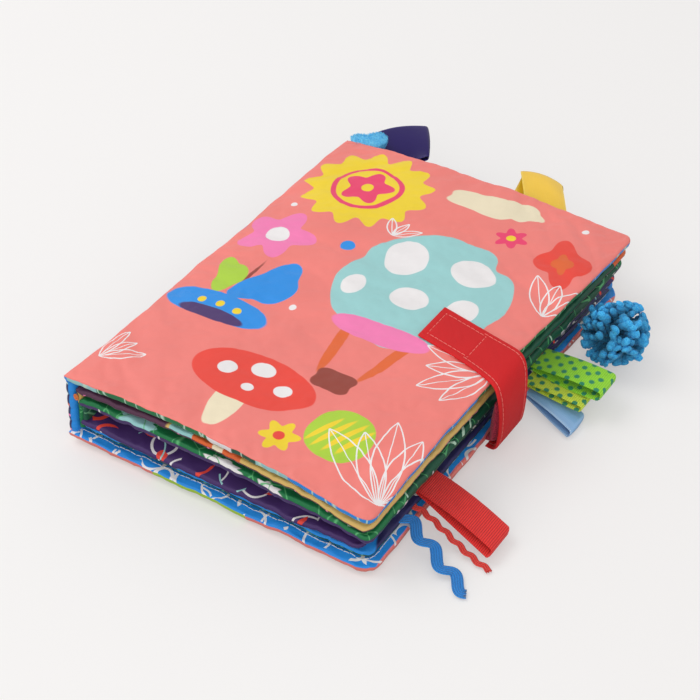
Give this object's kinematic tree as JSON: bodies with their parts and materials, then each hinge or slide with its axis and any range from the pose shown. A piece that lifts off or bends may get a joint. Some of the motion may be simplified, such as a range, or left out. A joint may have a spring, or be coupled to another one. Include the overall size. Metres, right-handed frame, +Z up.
{
  "type": "crinkle cloth book",
  "caption": "Soft padded cloth book with crackling leaves, a quilted spine, a closing strap, ribbon loops, rickrack tails and a pompom; it opens like a real book.",
  "frame": {"origin": "middle of the back cover's flat underside, which rests on the table", "axes": "+Z up through the closed book to the front cover, +X from the spine to the fore-edge, +Y from the near edge to the far edge, along the spine"},
  "size_m": [0.2047, 0.2632, 0.0435],
  "materials": {
    "cover_cotton": "printed cotton, slightly creased",
    "lining_cotton": "printed cotton lining",
    "purple_cotton": "printed cotton",
    "green_cotton": "printed cotton",
    "tan_cotton": "printed cotton",
    "spine_cotton": "quilted printed cotton",
    "wadding": "soft polyester wadding",
    "crinkle_film": "thin crackling film",
    "strap_webbing": "topstitched strap",
    "hook_tape": "hook tape",
    "loop_tape": "fuzzy loop tape",
    "red_grosgrain": "ribbed ribbon",
    "green_ribbon": "dotted ribbon",
    "lime_ribbon": "dotted ribbon",
    "blue_satin": "satin ribbon",
    "purple_satin": "satin ribbon",
    "yellow_satin": "satin ribbon",
    "red_rickrack": "woven wavy braid",
    "blue_rickrack": "woven wavy braid",
    "blue_chenille": "looped chenille yarn",
    "blue_plush": "short plush",
    "thread": "twisted thread"
  },
  "bodies": {
    "back_cover": {"back_cover_cloth": "cover_cotton", "back_cover_lining": "lining_cotton", "back_cover_wadding": "wadding", "back_cover_crinkle_film": "crinkle_film", "back_cover_loop_patch": "loop_tape", "blue_satin_loop": "blue_satin"},
    "leaf_4": {"leaf_4_upper_cloth": "purple_cotton", "leaf_4_lower_cloth": "green_cotton", "leaf_4_crinkle_film": "crinkle_film", "spine_channel_4": "spine_cotton", "spine_padding_4": "wadding", "lime_dotted_loop": "lime_ribbon", "red_rickrack": "red_rickrack", "blue_rickrack": "blue_rickrack"},
    "leaf_3": {"leaf_3_upper_cloth": "purple_cotton", "leaf_3_lower_cloth": "tan_cotton", "leaf_3_crinkle_film": "crinkle_film", "spine_channel_3": "spine_cotton", "spine_padding_3": "wadding", "green_dotted_loop": "green_ribbon", "red_grosgrain_loop": "red_grosgrain"},
    "leaf_2": {"leaf_2_upper_cloth": "green_cotton", "leaf_2_lower_cloth": "purple_cotton", "leaf_2_crinkle_film": "crinkle_film", "spine_channel_2": "spine_cotton", "spine_padding_2": "wadding", "purple_satin_loop": "purple_satin"},
    "leaf_1": {"leaf_1_upper_cloth": "tan_cotton", "leaf_1_lower_cloth": "green_cotton", "leaf_1_crinkle_film": "crinkle_film", "spine_channel_1": "spine_cotton", "spine_padding_1": "wadding", "yellow_satin_loop": "yellow_satin", "plush_tab": "blue_plush"},
    "front_cover": {"front_cover_cloth": "cover_cotton", "front_cover_lining": "lining_cotton", "front_cover_wadding": "wadding", "front_cover_crinkle_film": "crinkle_film", "strap_sewn_end": "strap_webbing"},
    "strap": {"strap_band": "strap_webbing", "strap_hook_tape": "hook_tape"},
    "pompom": {"pompom": "blue_chenille", "pompom_tie": "thread"}
  },
  "joints": [
    {"name": "leaf_4_turn", "type": "hinge", "parent": "back_cover", "child": "leaf_4", "pos_m": [-0.08265, 0, 0.00637], "axis": [0, 1, 0], "range_deg": [-25, 0]},
    {"name": "leaf_3_turn", "type": "hinge", "parent": "leaf_4", "child": "leaf_3", "pos_m": [-0.08265, 0, 0.01241], "axis": [0, 1, 0], "range_deg": [-35, 0]},
    {"name": "leaf_2_turn", "type": "hinge", "parent": "leaf_3", "child": "leaf_2", "pos_m": [-0.08265, 0, 0.02038], "axis": [0, 1, 0], "range_deg": [-45, 0]},
    {"name": "leaf_1_turn", "type": "hinge", "parent": "leaf_2", "child": "leaf_1", "pos_m": [-0.08265, 0, 0.02807], "axis": [0, 1, 0], "range_deg": [-60, 0]},
    {"name": "cover_turn", "type": "hinge", "parent": "leaf_1", "child": "front_cover", "pos_m": [-0.08265, 0, 0.03467], "axis": [0, -1, 0], "range_deg": [0, 180]},
    {"name": "strap_swing", "type": "hinge", "parent": "front_cover", "child": "strap", "pos_m": [0.08265, -0.006, 0.0422], "axis": [0, -1, 0], "range_deg": [0, 120]},
    {"name": "pompom_swing", "type": "hinge", "parent": "leaf_3", "child": "pompom", "pos_m": [0.08115, 0.06785, 0.01647], "axis": [0, 0, 1], "range_deg": [-10, 20]}
  ]
}
